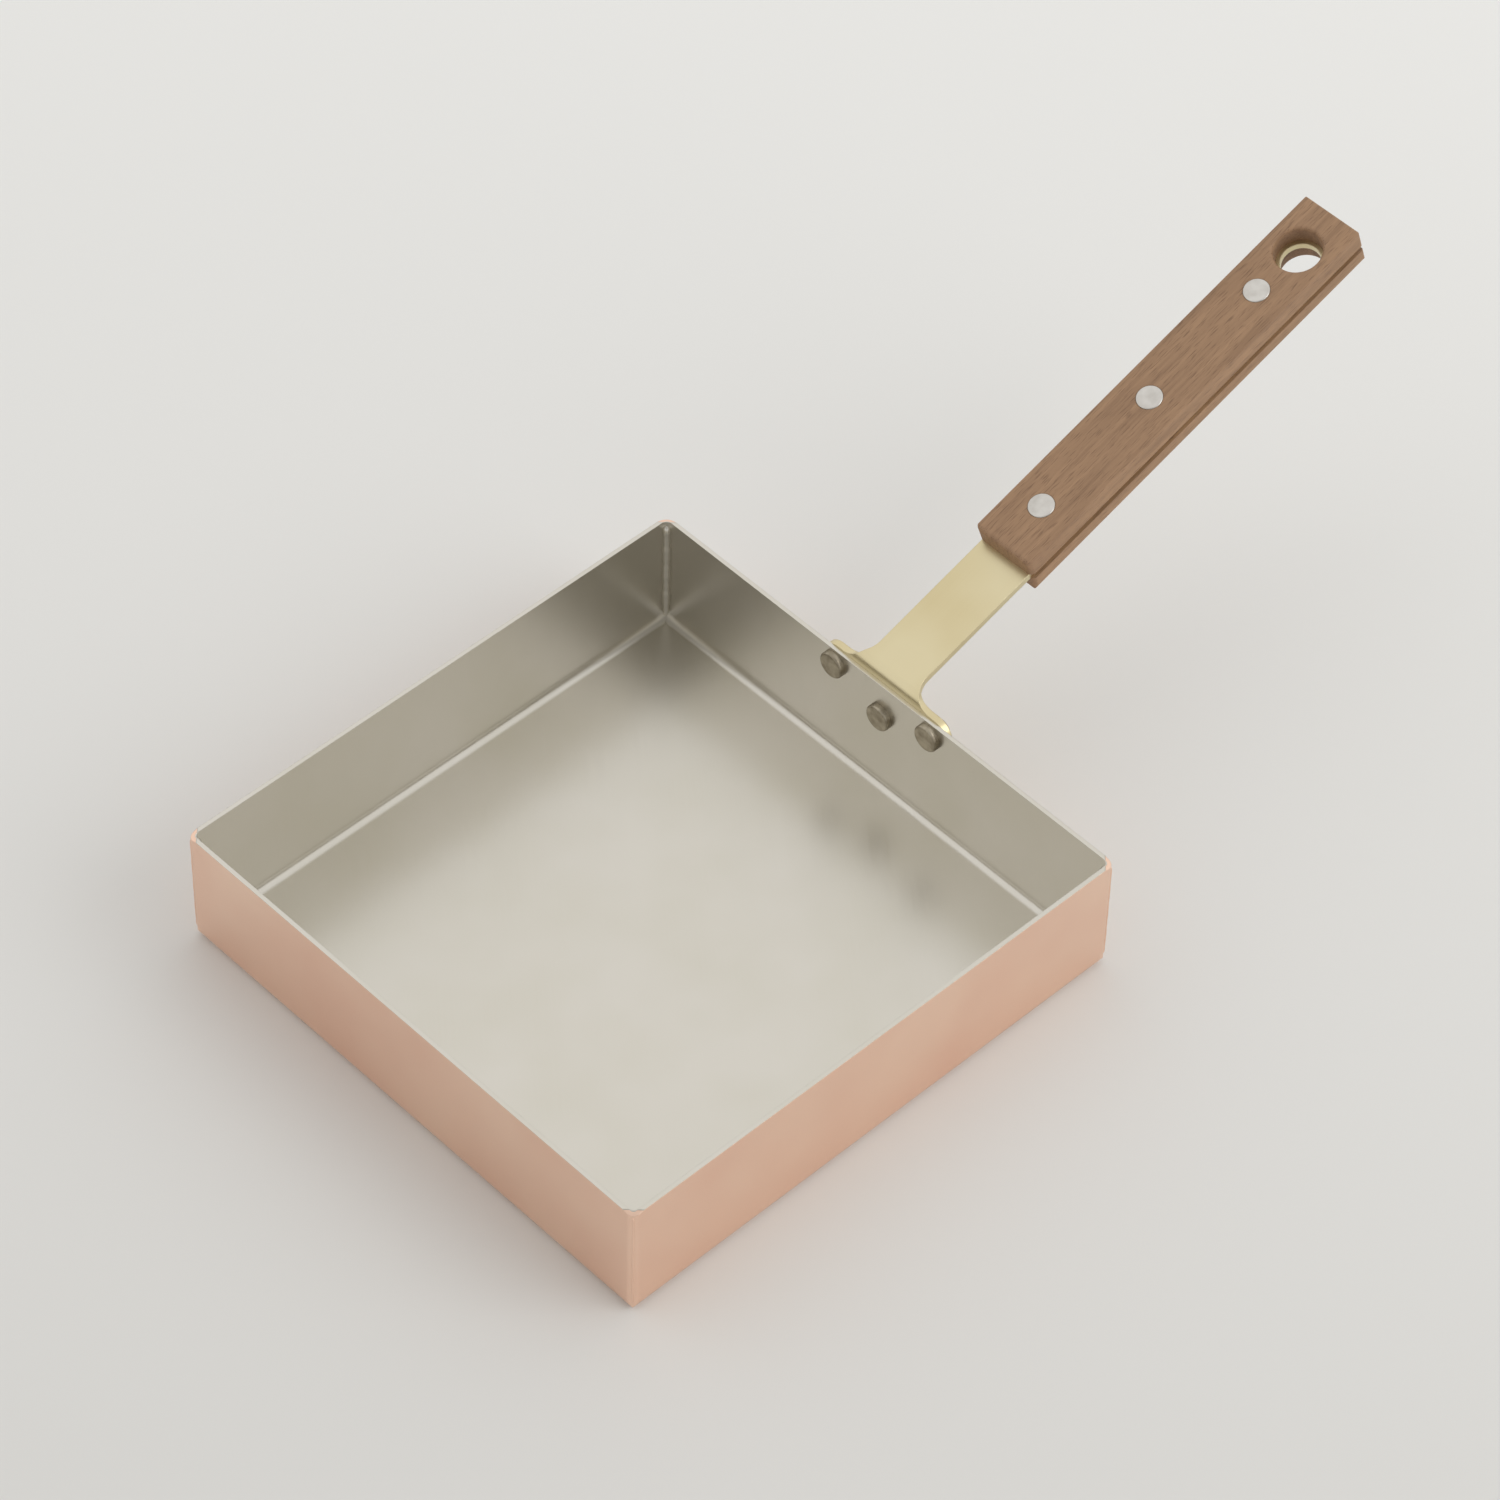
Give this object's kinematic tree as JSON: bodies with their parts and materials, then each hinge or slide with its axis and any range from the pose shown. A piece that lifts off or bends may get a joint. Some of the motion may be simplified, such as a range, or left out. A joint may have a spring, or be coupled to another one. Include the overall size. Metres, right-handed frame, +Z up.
{
  "type": "tamagoyaki pan",
  "caption": "Square copper pan for rolled omelettes, tinned inside, with a bent brass strap handle that carries two riveted walnut scales.",
  "frame": {"origin": "centre of the tray's underside", "axes": "+Z up out of the tray, +Y toward the handle, +X to the right seen from behind the tray's front wall"},
  "size_m": [0.18, 0.3602, 0.1107],
  "materials": {
    "copper": "satin brushed copper sheet",
    "tin": "wiped tin",
    "brass": "satin rolled brass",
    "walnut": "sanded and oiled walnut",
    "tinned_rivet": "tinned copper rivet",
    "aluminium": "satin aluminium rivet"
  },
  "bodies": {
    "root": {"pan_body": "copper", "tin_lining": "tin", "handle_strap": "brass", "upper_scale": "walnut", "lower_scale": "walnut", "tray_rivet_left": "tinned_rivet", "tray_rivet_middle": "tinned_rivet", "tray_rivet_right": "tinned_rivet", "grip_rivet_near_end": "aluminium", "grip_rivet_centre": "aluminium", "grip_rivet_far_end": "aluminium"}
  },
  "joints": []
}
